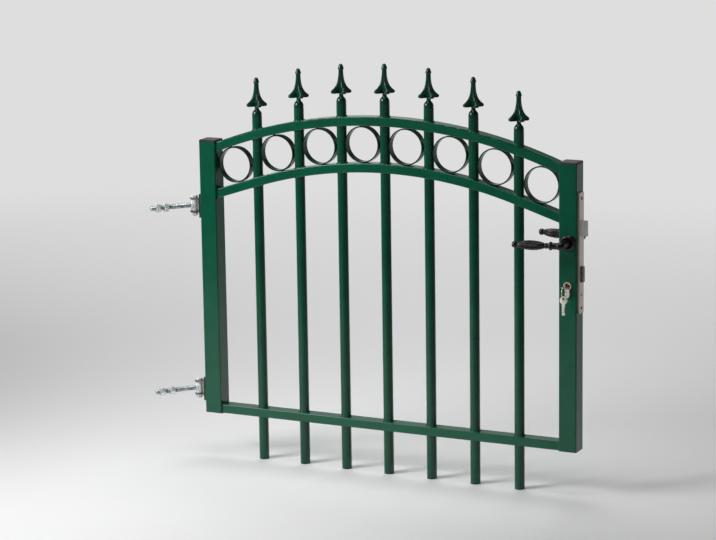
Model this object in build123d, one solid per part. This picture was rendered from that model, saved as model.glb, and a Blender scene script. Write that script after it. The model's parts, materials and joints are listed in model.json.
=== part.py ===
from build123d import *
import os
from math import asin, cos, degrees, radians, sin, sqrt

# Arched ornamental garden gate leaf, in millimetres.
# It is drawn with X along the leaf from the hinges to the lock and zero at mid leaf, Y through the
# leaf with zero at mid depth and the key on the -Y side, and Z up from the stiles' lower ends.
# The finished pieces are then moved so that the origin is where the lower eye bolt seats on its post.

# Stiles and their caps
LEAF_WIDTH = 900.0
STILE_HEIGHT = 620.0
STILE_FACE = 40.0
STILE_DEPTH = 40.0
STILE_WALL = 2.0
STILE_CORNER = 2.5
CAP_HEIGHT = 5.0
CAP_BEVEL = 1.5
CAP_SPIGOT = 14.0
CAP_CLEARANCE = 0.3

# Rails and arches
RAIL_HEIGHT = 20.0
RAIL_DEPTH = 30.0
RAIL_WALL = 1.5
RAIL_CORNER = 2.0
ARCH_RISE = 77.0

# Pickets and the rings between them
PICKET_PITCH = 104.0
PICKET_DIAMETER = 22.0
PICKET_WALL = 2.0
PICKET_DROP = 97.5
PICKET_RISE = 30.0
PASS_CLEARANCE = 0.3
PLUG_RIM = 1.5
PLUG_SPIGOT = 10.0
RING_THICKNESS = 2.8
RING_DEPTH = 16.0
RING_SIDE_GAP = 0.8
RING_CLEARANCE = 0.3
RING_HEADROOM = 1.3

# Finials: heights are measured down from the tip
FINIAL_HEIGHT = 85.0
BUD_HEIGHT = 10.5
BUD_RADIUS = 6.5
BUD_MID_SHARE = 0.67
BUD_ARC_SHARES = (0.72, 0.25)
SHAFT_RADIUS = 5.4
LEAF_SPREAD = 22.6
LEAF_TIP_DEPTH = 62.0
LEAF_HOLLOW = 7.0
NECK_RADIUS = 5.0
FERRULE_HEIGHT = 12.0
FERRULE_RADIUS = 11.4
FERRULE_ARC_SHARE = 0.83
FERRULE_LIP = 3.0
FINIAL_SPIGOT = 9.0
LEAF_COUNT = 4
# Where each cross-section of the leaves lies between the bud and the leaf tips, with the radius of
# its leaves and of its valleys, as shares of the tip depth and of the spread, and half a leaf's angle
LEAF_SECTION_SHARES = [
    (0.17, 0.27, 0.25, 30),
    (0.38, 0.33, 0.25, 29),
    (0.58, 0.44, 0.27, 27),
    (0.74, 0.60, 0.29, 24),
    (0.86, 0.79, 0.30, 19),
    (0.94, 0.94, 0.31, 15),
    (1.00, 1.00, 0.31, 12),
]
LEAF_CROWN_SHARE = 1.05

# Hinges
HINGE_OFFSET = 26.0
UPPER_HINGE_DROP = 147.0
LOWER_HINGE_HEIGHT = 51.0
EYE_DIAMETER = 16.0
EYE_HEIGHT = 26.0
PIN_DIAMETER = 8.0
PIN_CLEARANCE = 0.2
LUG_THICKNESS = 3.0
LUG_WIDTH = 20.0
LUG_GAP = 0.4
BRACKET_THICKNESS = 3.0
PAD_THICKNESS = 8.0
PAD_WIDTH = 24.0
PAD_HEIGHT = 54.0
PAD_CORNER = 2.0
HEAD_FLATS = 13.0
HEAD_HEIGHT = 6.0
PIN_NUT_HEIGHT = 7.0
PIN_END = 2.5

# Eye bolt rods and the nuts that clamp a post's wall
ROD_DIAMETER = 11.0
ROD_REACH = 106.0
ROD_ANGLE = 51.0
ROD_CHAMFER = 1.5
NUT_FLATS = 18.0
NUT_HEIGHT = 10.0
NUT_CLEARANCE = 0.1
UPPER_SEAT = 74.0
UPPER_GRIP = 9.5
LOWER_SEAT = 72.0
LOWER_GRIP = 13.0

# Lock: the spindle is measured down from the stile's top, other rises and drops from it or the cylinder
BACKSET = 19.0
SPINDLE_DROP = 165.5
LOCK_CENTRES = 92.0
FOREND_RISE = 106.0
FOREND_DROP = 61.0
FOREND_WIDTH = 24.0
FOREND_THICKNESS = 4.0
FOREND_CORNER = 2.0
CASE_RISE = 80.0
CASE_DROP = 38.0
CASE_DEPTH = 36.0
CASE_THICKNESS = 16.0
CASE_WALL = 1.2
SLOT_CLEARANCE = 0.5
BOLT_CLEARANCE = 0.5
LATCH_RISE = 12.5
LATCH_HEIGHT = 33.0
LATCH_THICKNESS = 12.0
LATCH_THROW = 12.0
LATCH_TAIL = 14.0
LATCH_HEEL = 6.5
DEAD_RISE = 6.5
DEAD_HEIGHT = 33.0
DEAD_THICKNESS = 11.0
DEAD_PROUD = 5.0
DEAD_HEAD = 12.0
DEAD_TAIL = 24.0
DEAD_TAIL_HEIGHT = 20.0
DEAD_TAIL_THICKNESS = 8.0

# Cylinder, plug and keys
CYLINDER_DIAMETER = 17.0
CYLINDER_FOOT_WIDTH = 10.0
CYLINDER_TALL = 34.0
CYLINDER_PROUD = 5.0
CYLINDER_CLEARANCE = 0.4
PLUG_DIAMETER = 13.0
PLUG_LENGTH = 22.0
PLUG_CLEARANCE = 0.15
KEY_THICKNESS = 2.2
KEY_BLADE_WIDTH = 7.0
KEY_BLADE_LENGTH = 20.0
KEYWAY_CLEARANCE = 0.15
KEY_SHANK = 4.0
KEY_BOW_WIDTH = 17.0
KEY_BOW_LENGTH = 17.0
KEY_EYE_DIAMETER = 8.5
KEY_EYE_EDGE = 2.5
KEY_RING_DIAMETER = 25.0
KEY_RING_WIRE = 1.6
KEY_RING_CLEARANCE = 0.3

# Levers and rosettes
ROSETTE_DIAMETER = 35.0
ROSETTE_THICKNESS = 8.0
ROSETTE_ROUND = 3.0
SPINDLE_SIDE = 8.0
SPINDLE_CLEARANCE = 0.1
SPINDLE_HOLE_CLEARANCE = 0.9
SPINDLE_SOCKET = 28.0
NECK_DIAMETER = 18.0
NECK_CLEARANCE = 0.5
LEVER_STAND_OFF = 42.0
LEVER_SPLAY = 8.5
LEVER_REACH = 105.0
LEVER_RADIUS = 10.4
ELBOW_RADIUS = 6.8
FLUTE_COUNT = 10
FLUTE_DEPTH_SHARE = 0.14
# The turned stretches of the lever from its elbow outwards: place as a share of the reach, radius
# as a share of the grip's largest radius
LEVER_NECK_SHARES = [
    (0.00, 0.55),
    (0.05, 0.55),
    (0.06, 0.46),
    (0.09, 0.46),
    (0.10, 0.55),
    (0.18, 0.55),
    (0.185, 0.80),
    (0.20, 0.86),
    (0.215, 0.86),
    (0.23, 0.80),
    (0.235, 0.46),
    (0.26, 0.46),
    (0.28, 0.54),
    (0.31, 0.54),
    (0.33, 0.46),
]
LEVER_GRIP_SHARES = [(0.33, 0.56), (0.42, 0.84), (0.50, 0.96), (0.59, 1.00), (0.70, 0.92), (0.80, 0.77), (0.875, 0.60)]
LEVER_BALL_SHARES = (0.875, 0.943, 0.42, 0.575)

OVERRUN = 5.0

# Places that several pieces share
STILE_INNER = LEAF_WIDTH / 2 - STILE_FACE
STILE_MID = LEAF_WIDTH / 2 - STILE_FACE / 2
PICKET_RADIUS = PICKET_DIAMETER / 2
RING_DIAMETER = PICKET_PITCH - PICKET_DIAMETER - 2 * RING_SIDE_GAP
ARCH_GAP = RING_DIAMETER + RING_CLEARANCE + RING_HEADROOM
# As many pickets as leave room for a ring between the last one and the stile on each side
PICKET_COUNT = 1 + int(2 * (STILE_INNER - ARCH_GAP - PICKET_RADIUS) / PICKET_PITCH)
PICKET_XS = [(i - (PICKET_COUNT - 1) / 2) * PICKET_PITCH for i in range(PICKET_COUNT)]
# The upper arch meets the stiles' inner faces at their tops
CROWN_HEIGHT = STILE_HEIGHT + ARCH_RISE
ARCH_RADIUS = (STILE_INNER**2 + ARCH_RISE**2) / (2 * ARCH_RISE)
ARCH_CENTRE = CROWN_HEIGHT - ARCH_RADIUS
LOWER_ARCH_RADIUS = ARCH_RADIUS - RAIL_HEIGHT - ARCH_GAP
# The lower arch is bent between its outermost pickets and runs straight from there to the stiles
LOWER_BEND = asin(PICKET_XS[-1] / (LOWER_ARCH_RADIUS - RAIL_HEIGHT / 2))
UPPER_BEND = asin(STILE_INNER / (ARCH_RADIUS - RAIL_HEIGHT / 2))
UPPER_HINGE_HEIGHT = STILE_HEIGHT - UPPER_HINGE_DROP
SPINDLE_HEIGHT = STILE_HEIGHT - SPINDLE_DROP
HINGE_X = -LEAF_WIDTH / 2 - HINGE_OFFSET
LOCK_X = LEAF_WIDTH / 2 - BACKSET
CYLINDER_HEIGHT = SPINDLE_HEIGHT - LOCK_CENTRES
FOREND_BASE = CYLINDER_HEIGHT - FOREND_DROP
FOREND_LENGTH = FOREND_RISE + LOCK_CENTRES + FOREND_DROP
CASE_BASE = CYLINDER_HEIGHT - CASE_DROP
CASE_HEIGHT = CASE_RISE + LOCK_CENTRES + CASE_DROP
LATCH_BASE = SPINDLE_HEIGHT + LATCH_RISE
DEAD_BASE = CYLINDER_HEIGHT + DEAD_RISE
FOREND_FACE = LEAF_WIDTH / 2 + FOREND_THICKNESS
ROD_WAY = Vector(-cos(radians(ROD_ANGLE)), -sin(radians(ROD_ANGLE)), 0)
ORIGIN = Vector(HINGE_X, 0, LOWER_HINGE_HEIGHT) + ROD_WAY * LOWER_SEAT

nodes = {}


def upright(shape, x, y, z):
    """Moves a shape that was drawn at the origin to its place on the leaf."""
    return Pos(x, y, z) * shape


def tube_section(width, depth, wall, corner):
    """The section of a rectangular tube with rounded corners outside and square ones inside."""
    return RectangleRounded(width, depth, corner) - Rectangle(width - 2 * wall, depth - 2 * wall)


def rod_y(radius, x, z, y_from, y_to):
    """A round bar along Y."""
    bar = Cylinder(radius, y_to - y_from, align=(Align.CENTER, Align.CENTER, Align.MIN))
    return Pos(x, y_from, z) * (Rot(-90, 0, 0) * bar)


def prism_y(sketch, y_from, y_to):
    """Extrudes a sketch drawn in X and Z along Y."""
    return Pos(0, y_from, 0) * extrude(Plane.XZ * sketch, amount=-(y_to - y_from))


def block(x_from, x_to, y_half, z_from, z_to):
    """A block that is centred on the leaf's mid depth."""
    body = Box(x_to - x_from, 2 * y_half, z_to - z_from, align=(Align.MIN, Align.CENTER, Align.MIN))
    return Pos(x_from, 0, z_from) * body


def hexagon(flats, height):
    """A hexagonal head or nut, standing on its lower face."""
    return extrude(RegularPolygon(flats / 2, 6, major_radius=False), amount=height)


def arch_height(radius, x):
    """Height of a point at x on an arch of this radius."""
    return ARCH_CENTRE + sqrt(radius**2 - x**2)


def cylinder_outline(clearance):
    """The lock cylinder's keyhole outline in X and Z, grown by a clearance."""
    radius = CYLINDER_DIAMETER / 2
    foot = CYLINDER_FOOT_WIDTH / 2
    drop = CYLINDER_TALL - radius - foot
    neck = Pos(0, -drop / 2) * Rectangle(CYLINDER_FOOT_WIDTH + 2 * clearance, drop)
    outline = Circle(radius + clearance) + neck + Pos(0, -drop) * Circle(foot + clearance)
    return Pos(LOCK_X, CYLINDER_HEIGHT) * outline


# Stiles: the lock stile is slotted for the lock's case and pierced for its spindle and cylinder
def stile(x):
    section = tube_section(STILE_FACE, STILE_DEPTH, STILE_WALL, STILE_CORNER)
    return upright(extrude(section, amount=STILE_HEIGHT), x, 0, 0)


def lock_stile():
    slot = block(
        LEAF_WIDTH / 2 - STILE_WALL - SLOT_CLEARANCE,
        LEAF_WIDTH / 2 + OVERRUN,
        CASE_THICKNESS / 2 + SLOT_CLEARANCE,
        CASE_BASE - SLOT_CLEARANCE,
        CASE_BASE + CASE_HEIGHT + SLOT_CLEARANCE,
    )
    reach = STILE_DEPTH / 2 + OVERRUN
    spindle_hole = rod_y(NECK_DIAMETER / 2, LOCK_X, SPINDLE_HEIGHT, -reach, reach)
    cylinder_hole = prism_y(cylinder_outline(CYLINDER_CLEARANCE), -reach, reach)
    return stile(STILE_MID) - slot - spindle_hole - cylinder_hole


def stile_cap(x):
    cover = extrude(RectangleRounded(STILE_FACE, STILE_DEPTH, STILE_CORNER), amount=CAP_HEIGHT)
    cover = chamfer(cover.faces().sort_by(Axis.Z)[-1].edges(), CAP_BEVEL)
    inset = 2 * (STILE_WALL + CAP_CLEARANCE)
    spigot = Box(
        STILE_FACE - inset,
        STILE_DEPTH - inset,
        CAP_SPIGOT,
        align=(Align.CENTER, Align.CENTER, Align.MAX),
    )
    return upright(cover + spigot, x, 0, STILE_HEIGHT)


nodes["hinge_stile"] = stile(-STILE_MID)
nodes["lock_stile"] = lock_stile()
nodes["stile_caps"] = Compound([stile_cap(-STILE_MID), stile_cap(STILE_MID)])


# Rails: each is a tube between the stiles' inner faces, holed above and below for the pickets
def picket_holes(z_from, z_to):
    hole = Cylinder(
        PICKET_RADIUS + PASS_CLEARANCE,
        z_to - z_from,
        align=(Align.CENTER, Align.CENTER, Align.MIN),
    )
    return [upright(hole, x, 0, z_from) for x in PICKET_XS]


def bottom_rail():
    section = Plane.YZ * Rot(0, 0, 90) * tube_section(RAIL_HEIGHT, RAIL_DEPTH, RAIL_WALL, RAIL_CORNER)
    rail = upright(extrude(section, amount=2 * STILE_INNER), -STILE_INNER, 0, RAIL_HEIGHT / 2)
    return rail - picket_holes(-OVERRUN, RAIL_HEIGHT + OVERRUN)


def arch(outer_radius, bend):
    """A tube bent about the arches' centre to an angle on each side, and straight beyond it."""
    middle = outer_radius - RAIL_HEIGHT / 2
    section = tube_section(RAIL_HEIGHT, RAIL_DEPTH, RAIL_WALL, RAIL_CORNER)
    # The section stands on the YZ plane at the crown and turns about the arch's centre
    at_crown = Plane((0, 0, middle), x_dir=(0, 0, 1), z_dir=(1, 0, 0)) * section
    half = revolve(at_crown, Axis.Y, degrees(bend))
    half += extrude(Rot(0, degrees(bend), 0) * at_crown, amount=LEAF_WIDTH / 2 - middle * sin(bend))
    bent = upright(half + mirror(half, Plane.YZ), 0, 0, ARCH_CENTRE)
    low = ARCH_CENTRE
    span = block(-STILE_INNER, STILE_INNER, RAIL_DEPTH, low, CROWN_HEIGHT + OVERRUN)
    return (bent & span) - picket_holes(low, CROWN_HEIGHT + OVERRUN)


nodes["bottom_rail"] = bottom_rail()
nodes["lower_arch"] = arch(LOWER_ARCH_RADIUS, LOWER_BEND)
nodes["upper_arch"] = arch(ARCH_RADIUS, UPPER_BEND)


# Pickets: round tubes through the rail and both arches, each plugged below and tipped above
def picket_top(x):
    return arch_height(ARCH_RADIUS, x) + PICKET_RISE


def picket(x):
    length = picket_top(x) + PICKET_DROP
    section = Circle(PICKET_RADIUS) - Circle(PICKET_RADIUS - PICKET_WALL)
    return upright(extrude(section, amount=length), x, 0, -PICKET_DROP)


def picket_plug(x):
    top_aligned = (Align.CENTER, Align.CENTER, Align.MAX)
    bottom_aligned = (Align.CENTER, Align.CENTER, Align.MIN)
    rim = Cylinder(PICKET_RADIUS, PLUG_RIM, align=top_aligned)
    bore = PICKET_RADIUS - PICKET_WALL - PASS_CLEARANCE
    spigot = Cylinder(bore, PLUG_SPIGOT, align=bottom_aligned)
    return upright(rim + spigot, x, 0, -PICKET_DROP)


# Finials: a turned bud, shaft and ferrule, with four ribbed leaves that flare out of the shaft
def finial_core():
    ferrule_top = -FINIAL_HEIGHT + FERRULE_HEIGHT
    lip_top = -FINIAL_HEIGHT + FERRULE_LIP
    bore = PICKET_RADIUS - PICKET_WALL - PASS_CLEARANCE
    bud_mid = -BUD_HEIGHT * BUD_MID_SHARE
    out_share, down_share = BUD_ARC_SHARES
    bud = ThreePointArc(
        (0, 0), (BUD_RADIUS * out_share, -BUD_HEIGHT * down_share), (BUD_RADIUS, bud_mid)
    )
    under_bud = Line((BUD_RADIUS, bud_mid), (SHAFT_RADIUS, -BUD_HEIGHT))
    shaft = Line((SHAFT_RADIUS, -BUD_HEIGHT), (NECK_RADIUS, ferrule_top))
    shoulder = ThreePointArc(
        (NECK_RADIUS, ferrule_top),
        (FERRULE_RADIUS * FERRULE_ARC_SHARE, (ferrule_top + lip_top) / 2),
        (FERRULE_RADIUS, lip_top),
    )
    seat = Polyline(
        (FERRULE_RADIUS, lip_top),
        (FERRULE_RADIUS, -FINIAL_HEIGHT),
        (bore, -FINIAL_HEIGHT),
        (bore, -FINIAL_HEIGHT - FINIAL_SPIGOT),
        (0, -FINIAL_HEIGHT - FINIAL_SPIGOT),
        (0, 0),
    )
    outline = bud + under_bud + shaft + shoulder + seat
    return revolve(Plane.XZ * make_face(outline.edges()), Axis.Z)


def finial_leaves():
    """Leaves at the diagonals, each section with a corner on both sides of every leaf's crown."""
    sections = []
    step = 360 / LEAF_COUNT
    for depth_share, leaf_share, valley_share, half_angle in LEAF_SECTION_SHARES:
        leaf = leaf_share * LEAF_SPREAD
        round_leaf = [
            (valley_share * LEAF_SPREAD, 0),
            (leaf, step / 2 - half_angle),
            (leaf * LEAF_CROWN_SHARE, step / 2),
            (leaf, step / 2 + half_angle),
        ]
        corners = []
        for i in range(LEAF_COUNT):
            for radius, angle in round_leaf:
                turn = radians(angle + i * step)
                corners.append((radius * cos(turn), radius * sin(turn)))
        outline = make_face(Polyline(*corners, close=True).edges())
        sections.append(Pos(0, 0, -depth_share * LEAF_TIP_DEPTH) * outline)
    flare = loft(sections[::-1], ruled=True)
    hollow = Cone(
        LEAF_SPREAD,
        NECK_RADIUS,
        LEAF_HOLLOW,
        align=(Align.CENTER, Align.CENTER, Align.MIN),
    )
    return flare - Pos(0, 0, -LEAF_TIP_DEPTH) * hollow


FINIAL = finial_core() + finial_leaves()

for i, x in enumerate(PICKET_XS, start=1):
    nodes[f"picket_{i}"] = picket(x)
    nodes[f"finial_{i}"] = upright(FINIAL, x, 0, picket_top(x) + FINIAL_HEIGHT)
nodes["picket_plugs"] = Compound([picket_plug(x) for x in PICKET_XS])


# Rings: rolled flat bar, seated on the lower arch, one in each gap between pickets and stiles
def ring_height(x):
    """Height of a ring's centre over the lower arch's bend, or over its straight end."""
    reach = LOWER_ARCH_RADIUS + RING_CLEARANCE + RING_DIAMETER / 2
    if abs(x) < reach * sin(LOWER_BEND):
        return arch_height(reach, x)
    return ARCH_CENTRE + (reach - abs(x) * sin(LOWER_BEND)) / cos(LOWER_BEND)


def ring_centres():
    edges = [-STILE_INNER - PICKET_RADIUS, *PICKET_XS, STILE_INNER + PICKET_RADIUS]
    middles = [(a + b) / 2 for a, b in zip(edges, edges[1:])]
    return [(x, ring_height(x)) for x in middles]


for i, (x, z) in enumerate(ring_centres(), start=1):
    outer = RING_DIAMETER / 2
    hoop = Pos(x, z) * (Circle(outer) - Circle(outer - RING_THICKNESS))
    nodes[f"ring_{i}"] = prism_y(hoop, -RING_DEPTH / 2, RING_DEPTH / 2)


# Hinges: a bracket with two lugs on a pad on the stile, and a pin through the lugs and the eye
LUG_INNER = EYE_HEIGHT / 2 + LUG_GAP
LUG_OUTER = LUG_INNER + LUG_THICKNESS
PAD_FACE = -LEAF_WIDTH / 2 - PAD_THICKNESS


def hinge_pad(height):
    outline = Plane.YZ * RectangleRounded(PAD_WIDTH, PAD_HEIGHT, PAD_CORNER)
    return upright(extrude(outline, amount=PAD_THICKNESS), PAD_FACE, 0, height)


def hinge_bracket(height):
    plate = block(PAD_FACE - BRACKET_THICKNESS, PAD_FACE, LUG_WIDTH / 2, -LUG_OUTER, LUG_OUTER)
    reach = HINGE_OFFSET - PAD_THICKNESS
    tongue = Pos(reach / 2) * Rectangle(reach, LUG_WIDTH)
    ear = tongue + Circle(LUG_WIDTH / 2) - Circle(PIN_DIAMETER / 2 + PIN_CLEARANCE)
    lug = extrude(ear, amount=LUG_THICKNESS)
    lugs = upright(lug, HINGE_X, 0, LUG_INNER) + upright(lug, HINGE_X, 0, -LUG_OUTER)
    return upright(plate + lugs, 0, 0, height)


def hinge_pin(height):
    length = 2 * LUG_OUTER + PIN_NUT_HEIGHT + PIN_END
    top_aligned = (Align.CENTER, Align.CENTER, Align.MAX)
    shank = Pos(0, 0, LUG_OUTER) * Cylinder(PIN_DIAMETER / 2, length, align=top_aligned)
    head = Pos(0, 0, LUG_OUTER) * hexagon(HEAD_FLATS, HEAD_HEIGHT)
    nut = Pos(0, 0, -LUG_OUTER - PIN_NUT_HEIGHT) * hexagon(HEAD_FLATS, PIN_NUT_HEIGHT)
    return upright(shank + head + nut, HINGE_X, 0, height)


def along_rod(shape, distance, height):
    """Turns a shape that was drawn along Z so that it lies along an eye bolt's rod."""
    place = Vector(HINGE_X, 0, height) + ROD_WAY * distance
    return Plane(origin=place, x_dir=(0, 0, 1), z_dir=ROD_WAY) * shape


def eye_bolt(height):
    eye = upright(Cylinder(EYE_DIAMETER / 2, EYE_HEIGHT), HINGE_X, 0, height)
    bore = upright(Cylinder(PIN_DIAMETER / 2 + PIN_CLEARANCE, EYE_HEIGHT), HINGE_X, 0, height)
    rod = Cylinder(ROD_DIAMETER / 2, ROD_REACH, align=(Align.CENTER, Align.CENTER, Align.MIN))
    rod = chamfer(rod.faces().sort_by(Axis.Z)[-1].edges(), ROD_CHAMFER)
    return eye + along_rod(rod, 0, height) - bore


def post_nuts(height, seat, grip):
    nut = hexagon(NUT_FLATS, NUT_HEIGHT)
    nut -= extrude(Circle(ROD_DIAMETER / 2 + NUT_CLEARANCE), amount=NUT_HEIGHT)
    return [along_rod(nut, seat - NUT_HEIGHT, height), along_rod(nut, seat + grip, height)]


for name, height in (("upper", UPPER_HINGE_HEIGHT), ("lower", LOWER_HINGE_HEIGHT)):
    nodes[f"{name}_hinge_pad"] = hinge_pad(height)
    nodes[f"{name}_hinge_bracket"] = hinge_bracket(height)
    nodes[f"{name}_eye_bolt"] = eye_bolt(height)
nodes["hinge_pins"] = Compound([hinge_pin(UPPER_HINGE_HEIGHT), hinge_pin(LOWER_HINGE_HEIGHT)])
nodes["post_nuts"] = Compound(
    post_nuts(UPPER_HINGE_HEIGHT, UPPER_SEAT, UPPER_GRIP)
    + post_nuts(LOWER_HINGE_HEIGHT, LOWER_SEAT, LOWER_GRIP)
)


# Lock: a case inside the stile behind a forend plate, with windows for the latch and the dead bolt
def window(base, height, thickness):
    return block(
        LEAF_WIDTH / 2 - OVERRUN,
        FOREND_FACE + OVERRUN,
        thickness / 2 + BOLT_CLEARANCE,
        base - BOLT_CLEARANCE,
        base + height + BOLT_CLEARANCE,
    )


def lock_case():
    outline = Plane.YZ * RectangleRounded(FOREND_WIDTH, FOREND_LENGTH, FOREND_CORNER)
    forend = upright(
        extrude(outline, amount=FOREND_THICKNESS),
        LEAF_WIDTH / 2,
        0,
        FOREND_BASE + FOREND_LENGTH / 2,
    )
    case_top = CASE_BASE + CASE_HEIGHT
    back = LEAF_WIDTH / 2 - CASE_DEPTH
    half = CASE_THICKNESS / 2
    shell = block(back, LEAF_WIDTH / 2, half, CASE_BASE, case_top)
    shell -= block(
        back + CASE_WALL,
        LEAF_WIDTH / 2,
        half - CASE_WALL,
        CASE_BASE + CASE_WALL,
        case_top - CASE_WALL,
    )
    spindle_radius = SPINDLE_SIDE / sqrt(2) + SPINDLE_HOLE_CLEARANCE
    shell -= rod_y(spindle_radius, LOCK_X, SPINDLE_HEIGHT, -CASE_THICKNESS, CASE_THICKNESS)
    shell -= prism_y(cylinder_outline(CYLINDER_CLEARANCE), -CASE_THICKNESS, CASE_THICKNESS)
    forend -= window(LATCH_BASE, LATCH_HEIGHT, LATCH_THICKNESS)
    forend -= window(DEAD_BASE, DEAD_HEIGHT, DEAD_THICKNESS)
    return forend + shell


def latch_bolt():
    tip = FOREND_FACE + LATCH_THROW
    tail = LEAF_WIDTH / 2 - LATCH_TAIL
    half = LATCH_THICKNESS / 2
    heel = FOREND_FACE - LATCH_HEEL
    # The nose slopes on the key side, from its full thickness just inside the forend
    outline = Polyline(
        (tail, -half), (heel, -half), (tip, half / 2), (tip, half), (tail, half), close=True
    )
    return Pos(0, 0, LATCH_BASE) * extrude(make_face(outline.edges()), amount=LATCH_HEIGHT)


def dead_bolt():
    nose = FOREND_FACE + DEAD_PROUD
    head_back = nose - DEAD_HEAD
    top = DEAD_BASE + DEAD_HEIGHT
    head = block(head_back, nose, DEAD_THICKNESS / 2, DEAD_BASE, top)
    tail = block(
        head_back - DEAD_TAIL, head_back, DEAD_TAIL_THICKNESS / 2, top - DEAD_TAIL_HEIGHT, top
    )
    return head + tail


nodes["lock_case"] = lock_case()
nodes["latch_bolt"] = latch_bolt()
nodes["dead_bolt"] = dead_bolt()


# Cylinder: a keyhole-shaped bar through the stile, with a plug that the key turns from the front
CYLINDER_END = STILE_DEPTH / 2 + CYLINDER_PROUD


def key_slab(width, thickness, y_from, y_to):
    """A flat stretch of the key, which lies level in the plug."""
    slab = Box(width, y_to - y_from, thickness, align=(Align.CENTER, Align.MIN, Align.CENTER))
    return Pos(LOCK_X, y_from, CYLINDER_HEIGHT) * slab


def lock_cylinder():
    bar = prism_y(cylinder_outline(0), -CYLINDER_END, CYLINDER_END)
    radius = PLUG_DIAMETER / 2 + PLUG_CLEARANCE
    floor = -CYLINDER_END + PLUG_LENGTH + PLUG_CLEARANCE
    return bar - rod_y(radius, LOCK_X, CYLINDER_HEIGHT, -CYLINDER_END - OVERRUN, floor)


def cylinder_plug():
    end = -CYLINDER_END + PLUG_LENGTH
    plug = rod_y(PLUG_DIAMETER / 2, LOCK_X, CYLINDER_HEIGHT, -CYLINDER_END, end)
    return plug - key_slab(
        KEY_BLADE_WIDTH + 2 * KEYWAY_CLEARANCE,
        KEY_THICKNESS + 2 * KEYWAY_CLEARANCE,
        -CYLINDER_END - OVERRUN,
        end + OVERRUN,
    )


def flat_key():
    """A key lying level with the shoulder of its bow at the origin and its blade towards +Y."""
    half = KEY_BLADE_WIDTH / 2
    blade_end = KEY_SHANK + KEY_BLADE_LENGTH
    bow_mid = -KEY_BOW_LENGTH / 2
    blade = Polyline(
        (-half, bow_mid), (half, bow_mid), (half, blade_end - half), (0, blade_end), (-half, blade_end - half),
        close=True,
    )
    bow = Pos(0, bow_mid) * Ellipse(KEY_BOW_WIDTH / 2, KEY_BOW_LENGTH / 2)
    eye_y = -KEY_BOW_LENGTH + KEY_EYE_EDGE + KEY_EYE_DIAMETER / 2
    outline = bow + make_face(blade.edges()) - Pos(0, eye_y) * Circle(KEY_EYE_DIAMETER / 2)
    return Pos(0, 0, -KEY_THICKNESS / 2) * extrude(outline, amount=KEY_THICKNESS)


KEY_SHOULDER = -CYLINDER_END - KEY_SHANK
KEY_RIM_MID = KEY_SHOULDER - KEY_BOW_LENGTH + KEY_EYE_EDGE / 2
RING_WIRE_MID = KEY_RING_DIAMETER / 2 - KEY_RING_WIRE / 2
# The ring hangs with its wire resting on the rim between the bow's eye and its end
RING_HEIGHT = (
    CYLINDER_HEIGHT
    + KEY_THICKNESS / 2
    + KEY_RING_CLEARANCE
    + KEY_RING_WIRE / 2
    - RING_WIRE_MID
)


def key_ring():
    wire = Torus(RING_WIRE_MID, KEY_RING_WIRE / 2)
    return Pos(LOCK_X, KEY_RIM_MID, RING_HEIGHT) * (Rot(0, 90, 0) * wire)


def spare_key():
    """Hangs upright from the foot of the ring, with the ring's wire at the top of its eye."""
    hung = Rot(-90, 0, 0) * flat_key()
    wire_top = RING_HEIGHT - RING_WIRE_MID + KEY_RING_WIRE / 2
    eye_top = KEY_BOW_LENGTH - KEY_EYE_EDGE
    return Pos(LOCK_X, KEY_RIM_MID, wire_top + KEY_RING_CLEARANCE - eye_top) * hung


nodes["lock_cylinder"] = lock_cylinder()
nodes["cylinder_plug"] = cylinder_plug()
nodes["key"] = Pos(LOCK_X, KEY_SHOULDER, CYLINDER_HEIGHT) * flat_key()
nodes["key_ring"] = key_ring()
nodes["spare_key"] = spare_key()


# Levers: turned and fluted grips on elbows, on both ends of a square spindle through the lock
def rosette(side):
    disc = Cylinder(
        ROSETTE_DIAMETER / 2,
        ROSETTE_THICKNESS,
        align=(Align.CENTER, Align.CENTER, Align.MIN),
    )
    disc = fillet(disc.faces().sort_by(Axis.Z)[-1].edges(), ROSETTE_ROUND)
    disc -= Cylinder(NECK_DIAMETER / 2 + NECK_CLEARANCE, 2 * ROSETTE_THICKNESS)
    return Pos(LOCK_X, side * STILE_DEPTH / 2, SPINDLE_HEIGHT) * (Rot(-90 * side, 0, 0) * disc)


def turned(points):
    """Revolves a lever profile, given as shares along the reach and of the grip's radius, about X."""
    places = [(along * LEVER_REACH, radius * LEVER_RADIUS) for along, radius in points]
    outline = Polyline((places[0][0], 0), *places, (places[-1][0], 0), close=True)
    return revolve(make_face(outline.edges()), Axis.X)


def fluted_grip():
    sections = []
    for along, radius in LEVER_GRIP_SHARES:
        radii = [radius * LEVER_RADIUS, radius * LEVER_RADIUS * (1 - FLUTE_DEPTH_SHARE)]
        corners = []
        for i in range(2 * FLUTE_COUNT):
            turn = radians(i * 180 / FLUTE_COUNT)
            corners.append((radii[i % 2] * cos(turn), radii[i % 2] * sin(turn)))
        outline = make_face(Polyline(*corners, close=True).edges())
        sections.append(Plane((along * LEVER_REACH, 0, 0), x_dir=(0, 1, 0), z_dir=(1, 0, 0)) * outline)
    return loft(sections, ruled=True)


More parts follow.
